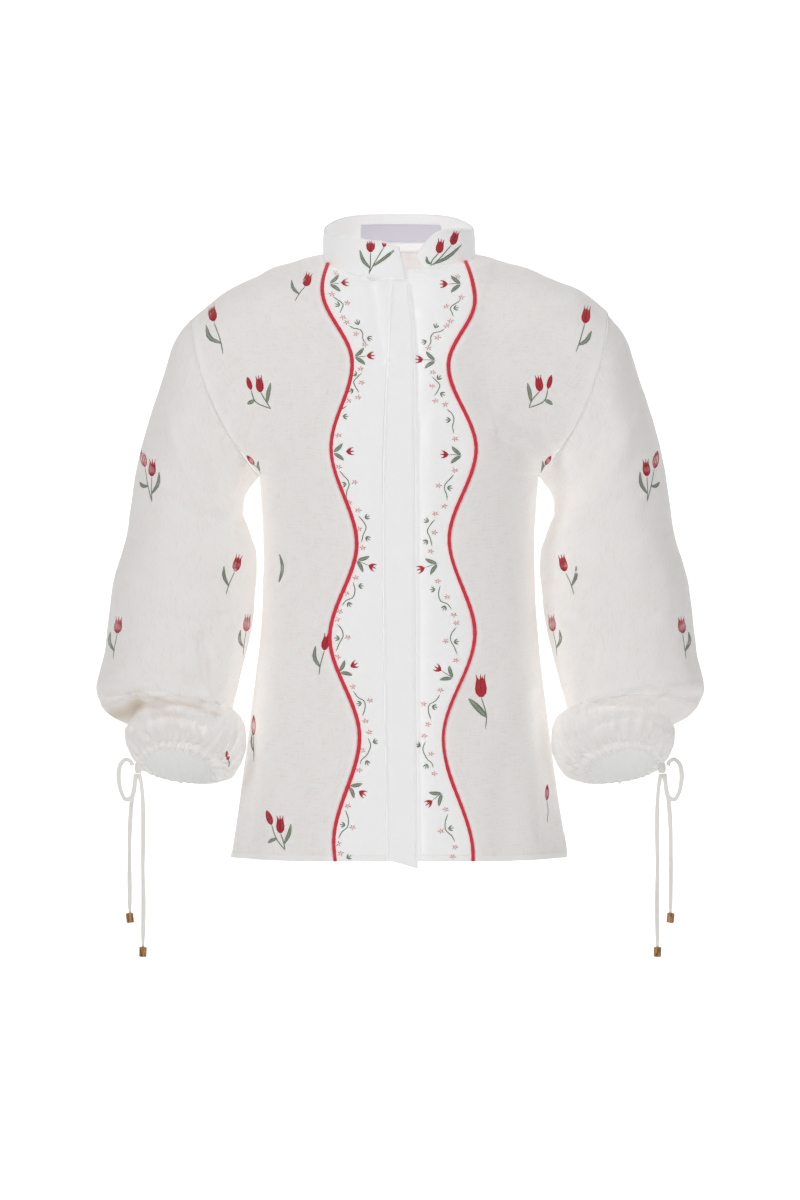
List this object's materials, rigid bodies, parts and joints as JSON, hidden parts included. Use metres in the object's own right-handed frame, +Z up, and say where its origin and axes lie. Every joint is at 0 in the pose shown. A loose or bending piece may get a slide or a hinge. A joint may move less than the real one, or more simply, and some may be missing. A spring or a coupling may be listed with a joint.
{
  "type": "long-sleeved blouse",
  "caption": "Linen blouse with a stand collar, hidden button placket, wavy piped front seams, full gathered sleeves on drawstrings and embroidered tulips, filled out as if worn.",
  "frame": {"origin": "centre of the neck at the height of the high shoulder points, where the blouse rests on its wearer", "axes": "+Z up, from the hem to the neck; -Y the front with the placket; +X towards the wearer's left"},
  "size_m": [0.6315, 0.2727, 0.7808],
  "materials": {
    "sheer_linen": "matte, slightly see-through weave",
    "opaque_linen": "matte",
    "red_piping": "matte, fine twist",
    "label": "satin",
    "button": "glossy",
    "white_tape": "matte",
    "bead": "satin"
  },
  "bodies": {
    "root": {"back": "sheer_linen", "front_side_right": "sheer_linen", "front_side_left": "sheer_linen", "sleeve_right": "sheer_linen", "sleeve_left": "sheer_linen", "casing_right": "sheer_linen", "casing_left": "sheer_linen", "collar": "opaque_linen", "fly_placket": "opaque_linen", "front_centre_right": "opaque_linen", "front_centre_left": "opaque_linen", "piping_right": "red_piping", "piping_left": "red_piping", "neck_label": "label", "button_1": "button", "button_2": "button", "button_3": "button", "button_4": "button", "button_5": "button", "button_6": "button", "button_7": "button", "tie_knot_right": "white_tape", "tie_knot_left": "white_tape", "tie_loop_right": "white_tape", "tie_loop_left": "white_tape", "tie_short_right": "white_tape", "tie_short_left": "white_tape", "tie_long_right": "white_tape", "tie_long_left": "white_tape", "bead_short_right": "bead", "bead_long_right": "bead", "bead_short_left": "bead", "bead_long_left": "bead"}
  },
  "joints": []
}
